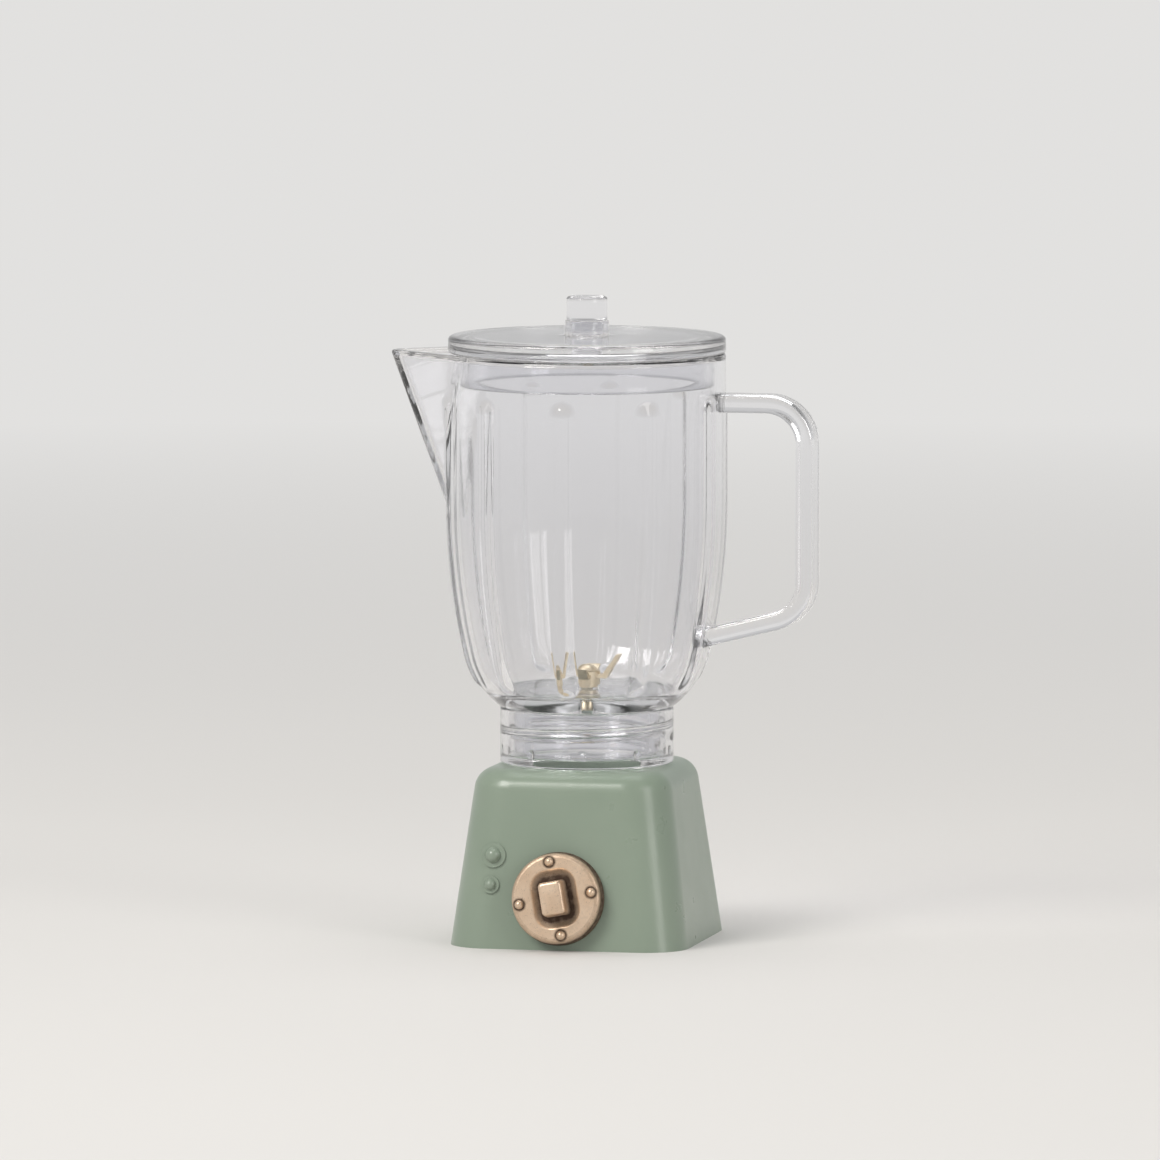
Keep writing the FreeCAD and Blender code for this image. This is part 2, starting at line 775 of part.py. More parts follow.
def swing(body, name, sketch, angle):
    """Turn a section about its sketch's first construction line, downwards."""
    feature = body.newObject("PartDesign::Revolution", name)
    feature.Profile = sketch
    feature.ReferenceAxis = (sketch, ["Axis0"])
    bind(feature, "Angle", angle)
    return feature


def jug():
    body = new_body("jug")
    wall = cell("jug_wall")
    profile = new_sketch(body, "jug_profile", "XZ_Plane")
    draw_jug_line(profile, as_size(0), bowl_foot, jug_rim, (cell("neck_radius"), neck_foot))
    turn(body, "jug_outside", profile)

    tip_at = cell("jug_radius") + cell("spout_reach")
    foot_at = cell("jug_radius") - cell("spout_bite")
    lip = new_sketch(body, "spout_lip_plan", "XY_Plane", (0, 0, jug_rim))
    draw_spout(lip, tip_at, as_size(0))
    heel = new_sketch(body, "spout_heel_plan", "XY_Plane", (0, 0, spout_foot))
    draw_spout(heel, foot_at, as_size(0))
    loft(body, "spout_outside", [lip, heel])

    proud = cell("rib_proud")
    half = cell("rib_half_width")
    rib_radius = (half * half + proud * proud) / 2 / proud
    sunk = rib_radius - proud
    high = cell("jug_radius") - sunk
    count = cell("rib_count")
    heading = 180 / count + cell("rib_shift")
    upper = new_sketch(body, "rib_upper_section", "XY_Plane", (0, 0, shoulder))
    draw_rib_section(upper, high, rib_radius, heading, cell("jug_radius") - cell("flank_curve"))
    rib_top = jug_rim - cell("rib_top_drop")
    straight = pad(body, "rib_straight", upper, rib_top - shoulder)
    around(body, "rib_straights", [straight], count)
    flank = swing(body, "rib_flank", upper, flank_angle)
    around(body, "rib_flanks", [flank], count)
    centre = bowl_centre()
    reach = cell("bowl_curve") - sunk
    lower = new_sketch(body, "rib_lower_section", "XY_Plane", (0, 0, centre[1]))
    draw_rib_section(lower, centre[0] + reach, rib_radius, heading, centre[0])
    drop = cell("rib_end_angle")
    bowl = swing(body, "rib_bowl", lower, drop)
    around(body, "rib_bowls", [bowl], count)
    low_out = centre[0] + reach * cosine(drop)
    low_height = centre[1] - reach * sine(drop)
    for name, out, height in (("rib_top_end", high, rib_top), ("rib_low_end", low_out, low_height)):
        ball = body.newObject("PartDesign::AdditiveSphere", name)
        ball.AttachmentSupport = [(origin_plane(body, "XY_Plane"), "")]
        ball.MapMode = "FlatFace"
        bind(ball, "Radius", rib_radius)
        bind(ball, "AttachmentOffset.Base.x", out * cosine(heading))
        bind(ball, "AttachmentOffset.Base.y", out * sine(heading))
        bind(ball, "AttachmentOffset.Base.z", height)
        around(body, name + "s", [ball], count)

    hollow = new_sketch(body, "jug_hollow_profile", "XZ_Plane")
    draw_jug_line(hollow, wall, jug_floor, jug_rim)
    turn(body, "jug_hollow", hollow, cut=True)
    inner_lip = new_sketch(body, "spout_inner_lip_plan", "XY_Plane", (0, 0, jug_rim))
    draw_spout(inner_lip, tip_at, cell("spout_wall"))
    inner_heel = new_sketch(body, "spout_inner_heel_plan", "XY_Plane", (0, 0, spout_foot))
    draw_spout(inner_heel, foot_at, cell("spout_wall"))
    loft(body, "spout_channel", [inner_lip, inner_heel], cut=True)

    under = new_sketch(body, "neck_hollow_plan", "XY_Plane", (0, 0, neck_foot))
    draw_circle(under, (0, 0), cell("neck_radius") - wall)
    ceiling = jug_floor - cell("floor_thickness")
    pocket(body, "neck_hollow", under, ceiling - neck_foot, along=True)
    boss = new_sketch(body, "pin_boss_plan", "XY_Plane", (0, 0, jug_floor - cell("floor_thickness") / 2))
    draw_circle(boss, (0, 0), cell("pin_radius") + cell("pin_boss_wall"))
    boss_length = cell("pin_depth") + cell("pin_boss_floor") - cell("floor_thickness") / 2
    pad(body, "pin_boss", boss, boss_length, reverse=True)
    hole = new_sketch(body, "pin_hole_plan", "XY_Plane", (0, 0, jug_floor))
    draw_circle(hole, (0, 0), cell("pin_radius") + cell("screw_gap"))
    pocket(body, "pin_hole", hole, cell("pin_depth"))
    add_thread(body, "neck_thread", cell("neck_radius"), True, neck_foot + cell("thread_start"))
    return body


def jug_collar():
    body = new_body("jug_collar")
    foot = collar_foot
    inner = cell("neck_radius") + cell("collar_gap")
    outer = inner + cell("collar_wall")
    floor = foot + cell("collar_floor")
    bend = cell("collar_round")
    plug = cell("seat_radius") - cell("plug_gap")
    profile = new_sketch(body, "collar_profile", "XZ_Plane")
    points = [
        (0, foot - cell("plug_length")), (plug, foot - cell("plug_length")), (plug, foot),
        (outer - bend, foot), (outer, foot + bend), (outer, collar_top - bend), (outer - bend, collar_top),
        (inner, collar_top), (inner, floor), (0, floor),
    ]
    draw_outline(profile, points, {3: (bend, True), 5: (bend, True)})
    turn(body, "collar_ring", profile)
    rib = new_sketch(body, "collar_rib_plan", "XY_Plane", (0, 0, floor - cell("collar_floor") / 2))
    half = cell("collar_rib_width") / 2
    deep = inner - cell("collar_rib_depth")
    back = inner + cell("collar_wall") / 2
    draw_outline(rib, [(deep, -half), (back, -half), (back, half), (deep, half)])
    tooth = pad(body, "collar_rib", rib, cell("collar_floor") / 2 + cell("collar_rib_height"))
    around(body, "collar_ribs", [tooth], cell("collar_rib_count"))
    start = neck_foot + cell("thread_start") + cell("thread_pitch") / 2
    add_thread(body, "collar_thread", inner, False, start)
    return body


def jug_handle():
    body = new_body("jug_handle")
    slope = cell("handle_slope")
    root_x = cell("jug_radius") - cell("handle_root")
    grip_x = cell("jug_radius") + cell("handle_reach") - cell("handle_thickness") / 2
    arm_foot = base_height + cell("handle_foot_rise")

    def side(offset):
        """The line on one side of the handle's middle line; offset is positive outside."""
        bend = cell("handle_bend") + offset
        top = jug_rim - cell("handle_top_drop") + offset
        x = grip_x + offset

        def arm(at):
            return arm_foot + (at - root_x) * tangent(slope) - offset / cosine(slope)

        cut = bend * tangent(45 - slope / 2)
        corner = arm(x)
        points = [
            (root_x, top), (x - bend, top), (x, top - bend), (x, corner + cut),
            (x - cut * cosine(slope), corner - cut * sine(slope)), (root_x, arm(root_x)),
        ]
        return points, bend

    outer, outer_bend = side(cell("handle_thickness") / 2)
    inner, inner_bend = side(-cell("handle_thickness") / 2)
    outline = new_sketch(body, "handle_outline", "XZ_Plane")
    points = outer + inner[::-1]
    arcs = {1: (outer_bend, False), 3: (outer_bend, False), 7: (inner_bend, True), 9: (inner_bend, True)}
    draw_outline(outline, points, arcs)
    bar = pad(body, "handle_bar", outline, cell("handle_width"), midplane=True)
    half = SIZES["handle_width"] / 2
    round_edges(body, "handle_edges", bar, cell("handle_round"),
                lambda edge: edge.BoundBox.YLength < 1e-4 and abs(abs(edge.BoundBox.YMin) - half) < 1e-4
                and edge.BoundBox.XMax > root_x.number + 1e-3)
    wall = new_sketch(body, "handle_trim", "XZ_Plane")
    draw_jug_line(wall, -rest_gap, bowl_foot, jug_rim)
    turn(body, "handle_saddle", wall, cut=True)
    return body


def blade_pin():
    body = new_body("blade_pin")
    foot = jug_floor - cell("pin_depth") + cell("screw_gap")
    neck = jug_floor + cell("blade_lift") + cell("hub_height") + cell("running_gap")
    head = cell("pin_head_radius")
    rise = cell("pin_head_height")
    dome = (head * head + rise * rise) / 2 / rise
    profile = new_sketch(body, "pin_profile", "XZ_Plane")
    radius = cell("pin_radius")
    points = [(0, foot), (radius, foot), (radius, neck), (head, neck), (0, neck + rise)]
    draw_outline(profile, points, {3: (dome, True)})
    turn(body, "pin", profile)
    collar = new_sketch(body, "pin_collar_plan", "XY_Plane", (0, 0, jug_floor + rest_gap))
    draw_circle(collar, (0, 0), head)
    pad(body, "pin_collar", collar, cell("blade_lift") - rest_gap - cell("running_gap"))
    return body


def blade():
    body = new_body("blade")
    foot = jug_floor + cell("blade_lift")
    hub = new_sketch(body, "hub_plan", "XY_Plane", (0, 0, foot))
    draw_circle(hub, (0, 0), cell("hub_radius"))
    pad(body, "hub", hub, cell("hub_height"))
    thick = cell("wing_thickness")
    middle = foot + cell("hub_height") / 2
    for number, name in enumerate(("steep", "shallow")):
        flat = cell("wing_flat")
        reach = cell(name + "_reach")
        rise = cell(name + "_rise")
        role = "XZ_Plane" if number == 0 else "YZ_Plane"
        strip = new_sketch(body, name + "_wing_profile", role)
        points = [
            (0, middle), (flat, middle), (reach, middle + rise), (reach - thick, middle + rise),
            (flat - thick, middle + thick), (0, middle + thick),
        ]
        draw_outline(strip, points)
        wing = pad(body, name + "_wing", strip, cell("wing_width"), midplane=True)
        around(body, name + "_wings", [wing], 2)
    bore = new_sketch(body, "blade_bore_plan", "XY_Plane", (0, 0, foot))
    draw_circle(bore, (0, 0), cell("pin_radius") + cell("running_gap"))
    pocket(body, "blade_bore", bore, cell("hub_height") * 2, along=True)
    return body


def lid():
    body = new_body("lid")
    outer = cell("jug_radius")
    bend = cell("lid_round")
    skirt = outer - cell("jug_wall") - cell("skirt_gap")
    inner = skirt - cell("skirt_wall")
    foot = lid_seat - cell("skirt_depth")
    spigot = cell("spigot_radius")
    bore = cell("plug_radius") + cell("cap_gap")
    summit = lid_top + cell("spigot_height")
    profile = new_sketch(body, "lid_profile", "XZ_Plane")
    points = [
        (bore, lid_top - cell("lid_plate")), (inner, lid_top - cell("lid_plate")),
        (inner, foot), (skirt, foot), (skirt, lid_seat),
        (outer, lid_seat), (outer, lid_top - bend), (outer - bend, lid_top),
        (spigot, lid_top), (spigot, summit), (bore, summit),
    ]
    draw_outline(profile, points, {6: (bend, True)})
    turn(body, "lid_body", profile)
    return body


def filler_cap():
    body = new_body("filler_cap")
    seat = lid_top + cell("spigot_height") + rest_gap
    outer = cell("cap_radius")
    bend = cell("cap_round")
    top = seat + cell("cap_height")
    profile = new_sketch(body, "cap_profile", "XZ_Plane")
    points = [
        (0, seat - cell("cap_plug_length")), (cell("plug_radius"), seat - cell("cap_plug_length")),
        (cell("plug_radius"), seat), (outer, seat), (outer, top - bend), (outer - bend, top), (0, top),
    ]
    draw_outline(profile, points, {4: (bend, True)})
    turn(body, "cap_body", profile)
    return body


# Make every piece, test the whole document, then write one file for each piece
pieces = [
    base_housing(), base_cover(), cover_screws(),
    dial(), dial_washer(), dial_screw(),
    jug(), jug_handle(), jug_collar(),
    blade_pin(), blade(),
    lid(), filler_cap(),
]
document.recompute()

failed = [item.Name for item in document.Objects if {"Invalid", "Error"} & set(item.State)]
if failed:
    raise RuntimeError("failed objects: " + ", ".join(failed))
for piece in pieces:
    if piece.Shape.isNull() or not piece.Shape.isValid() or not piece.Shape.Solids:
        raise RuntimeError("bad shape: " + piece.Label)
for piece in pieces:
    piece.Shape.exportStep("parts/%s.step" % piece.Label)
    box = piece.Shape.optimalBoundingBox(False, False)
    print("%-13s solids %d volume %8.2f  x %6.2f..%6.2f  y %6.2f..%6.2f  z %6.2f..%6.2f" % (
        piece.Label, len(piece.Shape.Solids), piece.Shape.Volume,
        box.XMin, box.XMax, box.YMin, box.YMax, box.ZMin, box.ZMax))
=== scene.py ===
import math
import bpy
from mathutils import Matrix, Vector


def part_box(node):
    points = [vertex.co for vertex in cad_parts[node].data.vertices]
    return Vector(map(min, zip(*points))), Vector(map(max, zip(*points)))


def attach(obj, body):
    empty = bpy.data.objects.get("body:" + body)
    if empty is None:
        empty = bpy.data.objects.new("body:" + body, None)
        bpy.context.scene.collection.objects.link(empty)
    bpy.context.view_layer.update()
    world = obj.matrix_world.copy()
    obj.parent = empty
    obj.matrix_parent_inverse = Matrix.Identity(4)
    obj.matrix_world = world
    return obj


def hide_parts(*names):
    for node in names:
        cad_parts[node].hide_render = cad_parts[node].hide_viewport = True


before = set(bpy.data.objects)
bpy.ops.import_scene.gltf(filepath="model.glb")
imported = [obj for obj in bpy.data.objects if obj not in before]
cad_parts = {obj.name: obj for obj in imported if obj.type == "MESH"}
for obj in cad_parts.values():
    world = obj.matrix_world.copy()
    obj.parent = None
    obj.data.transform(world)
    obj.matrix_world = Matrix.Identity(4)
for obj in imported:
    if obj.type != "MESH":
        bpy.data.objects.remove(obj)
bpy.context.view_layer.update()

MM = 0.001


# Sizes read from the frame, in millimetres
def corners(node):
    low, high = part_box(node)
    return Vector(low) / MM, Vector(high) / MM


jug_low, jug_high = corners("jug")
collar_low, collar_high = corners("jug_collar")
lid_low, lid_high = corners("lid")
cap_low, cap_high = corners("filler_cap")
base_high = corners("base_housing")[1]
handle_high = corners("jug_handle")[1]

JUG_RADIUS = lid_high.x
JUG_RIM = jug_high.z
COLLAR_RADIUS = collar_high.x
COLLAR_TOP = collar_high.z
DECK = base_high.z
BASE_HALF = base_high.x

# Sizes of the moulded forms, in millimetres
REST_GAP = 0.05
WALL = 1.2
NECK_RADIUS = 8.3
SHOULDER = DECK + 30.0
FLANK_CURVE = 78.0
FLANK_FOOT = DECK + 12.45
FLANK_ANGLE = math.asin((SHOULDER - FLANK_FOOT) / FLANK_CURVE)
BOWL_CURVE = 10.5
JUG_FLOOR = DECK + 8.4
JUG_LIP = 0.35
PIN_HOLE = 0.72
PIN_DEPTH = 2.4
BOSS_RADIUS = 1.8
BOSS_FLOOR = 0.55
RIBS = 10
RIB_SHIFT = math.radians(2.4)
RIB_HALF_WIDTH = 1.25
RIB_PROUD = 0.35
RIB_TOP = JUG_RIM - 4.7
RIB_FOOT = DECK + 8.4
SPOUT_FOOT = JUG_RIM - 19.8
SPOUT_TIP = 2.0
SPOUT_BITE = 0.3
SPOUT_WALL = 1.4
SPOUT_BLEND = 0.5
SPOUT_REACH = -jug_low.x - JUG_RADIUS
THREAD_PITCH = 1.6
THREAD_TURNS = 1.5
THREAD_HALF_WIDTH = 0.36
THREAD_DEPTH = 0.42
THREAD_START = 0.9
COLLAR_WALL = 0.85
COLLAR_FLOOR = 0.9
COLLAR_PLUG = 6.1
COLLAR_TEETH = 9
TOOTH_DEPTH = 0.35
TOOTH_HEIGHT = 1.1
LID_THICKNESS = 1.9
LID_PLATE = 1.1
SKIRT_GAP = 0.15
SKIRT_WALL = 1.0
SPIGOT_RADIUS = 2.5
CAP_BORE = 1.8
CAP_PLUG = 1.7
HANDLE_THICKNESS = 2.0
HANDLE_BEND = 4.5
HANDLE_FOOT = DECK + 14.1
HANDLE_ROOT = 3.6
HANDLE_SLOPE = math.radians(14.0)
HANDLE_EDGE = 0.45
BASE_LEAN = math.atan(2.55 / DECK)
DIAL_X = -0.3
DIAL_Z = 5.8
DIAL_GAP = 0.1
DIAL_FOOT = 5.3
DIAL_FACE = 5.05
DIAL_THICKNESS = 2.0
DIAL_EDGE = 0.55
DIAL_TURN = math.radians(11.0)
WELL_HALF = (2.65, 3.35)
WELL_CORNER = 1.9
WELL_DEPTH = 0.5
GRIP_HALF = (1.5, 2.05)
GRIP_CORNER = 0.45
GRIP_EDGE = 0.32
GRIP_HEIGHT = 2.1
GRIP_DRAFT = math.tan(math.radians(4.0))
STEM_RADIUS = 1.2
STEM_LENGTH = 3.0
STUD_RADIUS = 0.55
STUD_SINK = 0.11
STUD_CIRCLE = 4.2
STUD_PLACES = ((STUD_CIRCLE, 0.0), (0.0, STUD_CIRCLE), (-STUD_CIRCLE, 0.0), (0.0, -STUD_CIRCLE))

# Edge rounds and small offsets, in millimetres
HOLE_ROUND = 0.1
FINE_ROUND = 0.15
JOIN_ROUND = 0.2
EDGE_ROUND = 0.25
FOOT_ROUND = 0.3
CEILING_ROUND = 0.4
LID_HOLLOW_ROUND = 0.5
LID_TOP_ROUND = 0.55
KNOB_ROUND = 0.35
BOWL_RISE = 0.3
BOWL_INSET = 0.4
BOWL_ROUND = 0.6
WELL_EDGE = (0.1, -0.75)
DIAL_BACK_ROUND = 0.12
DIAL_BACK_RADIUS = 2.2
GRIP_SUNK = 0.1
RIB_FALL = 1.3
THREAD_CREST = 0.16
THREAD_FADE = 0.08

# Fineness of the meshes: steps round a turn, steps along a wall, and spacings in millimetres
JUG_TURN_STEPS = 340
JUG_TURN_CROWDING = 0.3
WALL_STEPS = 96
WALL_CROWDING = 1.35
COLLAR_TURN_STEPS = 288
LID_TURN_STEPS = 192
CAP_TURN_STEPS = 96
DIAL_TURN_STEPS = 220
DIAL_FACE_STEPS = 84
GRIP_SIDE_STEPS = 14
GRIP_EDGE_STEPS = 6
STEM_TURN_STEPS = 48
STUD_TURN_STEPS = 32
STUD_RISE_STEPS = 16
HANDLE_BEND_STEPS = 14
THREAD_SPACING = 0.09
COLLAR_SPACING = 0.12
DIAL_SIDE_SPACING = 0.3
RIM_SPACING = 0.35
CAP_SPACING = 0.5
HANDLE_SPACING = 0.6
LID_SPACING = 0.8
TINY = 1e-4

# How much painted shade lies on the dial, from 0 to 1
WELL_SHADE = 0.75
GRIP_FOOT_SHADE = 0.45
STUD_RING_SHADE = 0.95
GRIP_SIDE_SHADE = 0.95
STUD_FOOT_SHADE = 0.8
STEM_SHADE = 0.3
RIM_SHADE = (0.2, 0.7)


def smooth(low, high, value):
    """0 below low, 1 above high, and an eased step between."""
    part = min(max((value - low) / (high - low), 0.0), 1.0)
    return part * part * (3 - 2 * part)


# Mesh helpers
def make_object(name, points, faces, body, node):
    mesh = bpy.data.meshes.new(name)
    mesh.from_pydata([tuple(Vector(point) * MM) for point in points], [], faces)
    mesh.validate()
    mesh.shade_smooth()
    item = bpy.data.objects.new(name, mesh)
    bpy.context.scene.collection.objects.link(item)
    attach(item, body)
    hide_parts(node)
    return item


def corner_arc(before, here, after, radius, steps):
    """Points of the arc that rounds one corner of a line."""
    toward = before - here
    away = after - here
    half = toward.angle(away) / 2
    cut = min(radius / math.tan(half), toward.length * 0.49, away.length * 0.49)
    toward.normalize()
    away.normalize()
    centre = here + (toward + away).normalized() * (cut / math.cos(half))
    first = here + toward * cut - centre
    last = here + away * cut - centre
    sweep = math.pi - 2 * half
    arc = []
    for step in range(steps + 1):
        t = step / steps
        spoke = first * math.sin((1 - t) * sweep) + last * math.sin(t * sweep)
        arc.append(centre + spoke / math.sin(sweep))
    return arc


def rounded(corners_list, steps=5, closed=False):
    """A line through (r, z, radius) corners, each corner rounded by its radius."""
    places = [Vector(corner[:2]) for corner in corners_list]
    count = len(places)
    line = []
    for number, (place, corner) in enumerate(zip(places, corners_list)):
        end = not closed and number in (0, count - 1)
        if end or corner[2] <= 0:
            line.append(place)
            continue
        line += corner_arc(places[number - 1], place, places[(number + 1) % count], corner[2], steps)
    return line


def filled(line, spacing, closed=False):
    """The same line with long runs cut into steps of about spacing."""
    result = [line[0]]
    following = line[1:] + (line[:1] if closed else [])
    for start, end in zip(line, following):
        count = max(1, math.ceil((end - start).length / spacing))
        result += [start.lerp(end, step / count) for step in range(1, count + 1)]
    return result[:-1] if closed else result


def lathe(line, angles, shape=None):
    """Points and faces of a solid of revolution; shape may move a point by its place and angle."""
    points = []
    rows = []
    for r, z in line:
        if r < 1e-6:
            rows.append([len(points)])
            points.append((0, 0, z))
            continue
        row = []
        for angle in angles:
            radius, height = (r, z) if shape is None else shape(r, z, angle)
            row.append(len(points))
            points.append((radius * math.cos(angle), radius * math.sin(angle), height))
        rows.append(row)
    if len(rows[0]) > 1:
        rows.append(rows[0])
    faces = []
    for lower, upper in zip(rows, rows[1:]):
        for i in range(len(angles)):
            j = (i + 1) % len(angles)
            if len(lower) == 1:
                faces.append((lower[0], upper[j], upper[i]))
            elif len(upper) == 1:
                faces.append((lower[i], lower[j], upper[0]))
            else:
                faces.append((lower[i], lower[j], upper[j], upper[i]))
    return points, faces


def join_rings(rings):
    """Points and faces of a closed skin through rings of equal length, capped at both ends."""
    points = [point for ring in rings for point in ring]
    count = len(rings[0])
    faces = []
    for number in range(len(rings) - 1):
        start = number * count
        for i in range(count):
            j = (i + 1) % count
            faces.append((start + i, start + j, start + count + j, start + count + i))
    faces.append(tuple(reversed(range(count))))
    faces.append(tuple(range(len(points) - count, len(points))))
    return points, faces


def rounded_section(half_width, half_length, corner, steps):
    """A closed rounded rectangle about its middle."""
    return rounded([(half_width, half_length, corner), (-half_width, half_length, corner),
                    (-half_width, -half_length, corner), (half_width, -half_length, corner)],
                   steps, closed=True)


def even_angles(count):
    return [math.tau * i / count for i in range(count)]


# Materials
def new_material(name):
    material = bpy.data.materials.new(name)
    material.use_nodes = True
    nodes = material.node_tree.nodes
    return material, nodes, material.node_tree.links, nodes["Principled BSDF"]


def srgb(red, green, blue):
    """A colour from 8-bit screen values."""
    def linear(value):
        value /= 255
        return value / 12.92 if value <= 0.04045 else ((value + 0.055) / 1.055) ** 2.4
    return (linear(red), linear(green), linear(blue), 1.0)


def add_noise(nodes, links, scale, detail=4.0):
    where = nodes.new("ShaderNodeTexCoord")
    texture = nodes.new("ShaderNodeTexNoise")
    texture.inputs["Scale"].default_value = scale
    texture.inputs["Detail"].default_value = detail
    links.new(where.outputs["Object"], texture.inputs["Vector"])
    return texture.outputs["Fac"]


def map_range(nodes, links, value, start, end, low, high):
    mapping = nodes.new("ShaderNodeMapRange")
    mapping.inputs["From Min"].default_value = start
    mapping.inputs["From Max"].default_value = end
    mapping.inputs["To Min"].default_value = low
    mapping.inputs["To Max"].default_value = high
    links.new(value, mapping.inputs["Value"])
    return mapping.outputs["Result"]


def spread(nodes, links, value, low, high):
    """Map the middle of a noise value onto a range."""
    return map_range(nodes, links, value, 0.3, 0.7, low, high)


def add_bump(nodes, links, shader, height, strength, distance):
    bump = nodes.new("ShaderNodeBump")
    bump.inputs["Strength"].default_value = strength
    bump.inputs["Distance"].default_value = distance
    links.new(height, bump.inputs["Height"])
    links.new(bump.outputs["Normal"], shader.inputs["Normal"])


def mix_colours(nodes, links, factor, first, second):
    """first and second are each a colour or an output."""
    mix = nodes.new("ShaderNodeMix")
    mix.data_type = "RGBA"
    for name, value in (("A", first), ("B", second)):
        if isinstance(value, tuple):
            mix.inputs[name].default_value = value
        else:
            links.new(value, mix.inputs[name])
    links.new(factor, mix.inputs["Factor"])
    return mix.outputs["Result"]


def add_math(nodes, links, operation, first, second, clamp=False):
    node = nodes.new("ShaderNodeMath")
    node.operation = operation
    node.use_clamp = clamp
    links.new(first, node.inputs[0])
    links.new(second, node.inputs[1])
    return node.outputs["Value"]


def mint_plastic():
    material, nodes, links, shader = new_material("mint_plastic")
    mottle = spread(nodes, links, add_noise(nodes, links, 90.0, 3.0), 0.0, 1.0)
    colour = mix_colours(nodes, links, mottle, srgb(132, 146, 130), srgb(137, 150, 134))
    links.new(colour, shader.inputs["Base Color"])
    gloss = add_noise(nodes, links, 260.0, 5.0)
    links.new(spread(nodes, links, gloss, 0.27, 0.33), shader.inputs["Roughness"])
    add_bump(nodes, links, shader, add_noise(nodes, links, 500.0, 3.0), 0.03, 0.00004)
    shader.inputs["Coat Weight"].default_value = 0.2
    shader.inputs["Coat Roughness"].default_value = 0.15
    return material


def aged_gold():
    """A bronze-gold coat turned dark brown by painted shade in the hollows and on the sides: a point
    attribute says how much.
    """
    material, nodes, links, shader = new_material("aged_gold")
    painted_shade = nodes.new("ShaderNodeAttribute")
    painted_shade.attribute_name = "painted_shade"
    cloud = spread(nodes, links, add_noise(nodes, links, 1800.0, 5.0), -0.12, 0.12)
    pits = map_range(nodes, links, add_noise(nodes, links, 7000.0, 2.0), 0.62, 0.72, 0.0, 0.35)
    # Painted shade from the point attribute, with random mottle and fine pits added
    shade_and_mottle = add_math(nodes, links, "ADD", painted_shade.outputs["Fac"], cloud)
    shade_mottle_and_pits = add_math(nodes, links, "ADD", shade_and_mottle, pits, clamp=True)
    tone = spread(nodes, links, add_noise(nodes, links, 500.0, 4.0), 0.0, 1.0)
    clean = mix_colours(nodes, links, tone, srgb(217, 190, 163), srgb(226, 202, 177))
    # Dark brown where painted shade and pits are strong, also rougher and less metallic there
    links.new(mix_colours(nodes, links, shade_mottle_and_pits, clean, srgb(62, 42, 26)), shader.inputs["Base Color"])
    links.new(map_range(nodes, links, shade_mottle_and_pits, 0.0, 1.0, 0.36, 0.75), shader.inputs["Roughness"])
    links.new(map_range(nodes, links, shade_mottle_and_pits, 0.0, 1.0, 0.8, 0.1), shader.inputs["Metallic"])
    add_bump(nodes, links, shader, add_noise(nodes, links, 4200.0, 4.0), 0.15, 0.00003)
    return material


def clear_plastic():
    """Clear moulded plastic, a little smoky, with a faint flow texture."""
    material, nodes, links, shader = new_material("clear_plastic")
    shader.inputs["Base Color"].default_value = (0.93, 0.93, 0.945, 1.0)
    shader.inputs["IOR"].default_value = 1.49
    shader.inputs["Transmission Weight"].default_value = 1.0
    haze = add_noise(nodes, links, 160.0, 4.0)
    links.new(spread(nodes, links, haze, 0.02, 0.06), shader.inputs["Roughness"])
    add_bump(nodes, links, shader, add_noise(nodes, links, 70.0, 2.0), 0.05, 0.0002)
    through = nodes.new("ShaderNodeBsdfTransparent")
    through.inputs["Color"].default_value = (0.88, 0.88, 0.89, 1.0)
    path = nodes.new("ShaderNodeLightPath")
    mix = nodes.new("ShaderNodeMixShader")
    links.new(path.outputs["Is Shadow Ray"], mix.inputs["Fac"])
    links.new(shader.outputs["BSDF"], mix.inputs[1])
    links.new(through.outputs["BSDF"], mix.inputs[2])
    links.new(mix.outputs["Shader"], nodes["Material Output"].inputs["Surface"])
    return material


def plated_metal(name, light, dark, roughness):
    material, nodes, links, shader = new_material(name)
    patches = add_noise(nodes, links, 700.0, 5.0)
    factor = spread(nodes, links, patches, 0.0, 1.0)
    links.new(mix_colours(nodes, links, factor, light, dark), shader.inputs["Base Color"])
    links.new(spread(nodes, links, patches, roughness * 0.8, roughness * 1.3), shader.inputs["Roughness"])
    shader.inputs["Metallic"].default_value = 0.85
    add_bump(nodes, links, shader, patches, 0.08, 0.00003)
    return material


def dress(item, material):
    item.data.materials.clear()
    item.data.materials.append(material)


# Jug
def jug_line_radius(height, inset):
    """The outer line's radius at a height, set in by inset."""
    if height >= SHOULDER:
        return JUG_RADIUS - inset
    reach = FLANK_CURVE - inset
    if height >= SHOULDER - reach * math.sin(FLANK_ANGLE):
        return JUG_RADIUS - FLANK_CURVE + math.sqrt(reach ** 2 - (SHOULDER - height) ** 2)
    apart = FLANK_CURVE - BOWL_CURVE
    centre_x = JUG_RADIUS - FLANK_CURVE + apart * math.cos(FLANK_ANGLE)
    centre_z = SHOULDER - apart * math.sin(FLANK_ANGLE)
    reach = BOWL_CURVE - inset
    return centre_x + math.sqrt(max(reach ** 2 - (centre_z - height) ** 2, 0.01))


SPOUT_ANGLE = math.asin((JUG_RADIUS - SPOUT_BITE - SPOUT_TIP) / (JUG_RADIUS + SPOUT_REACH - SPOUT_TIP))


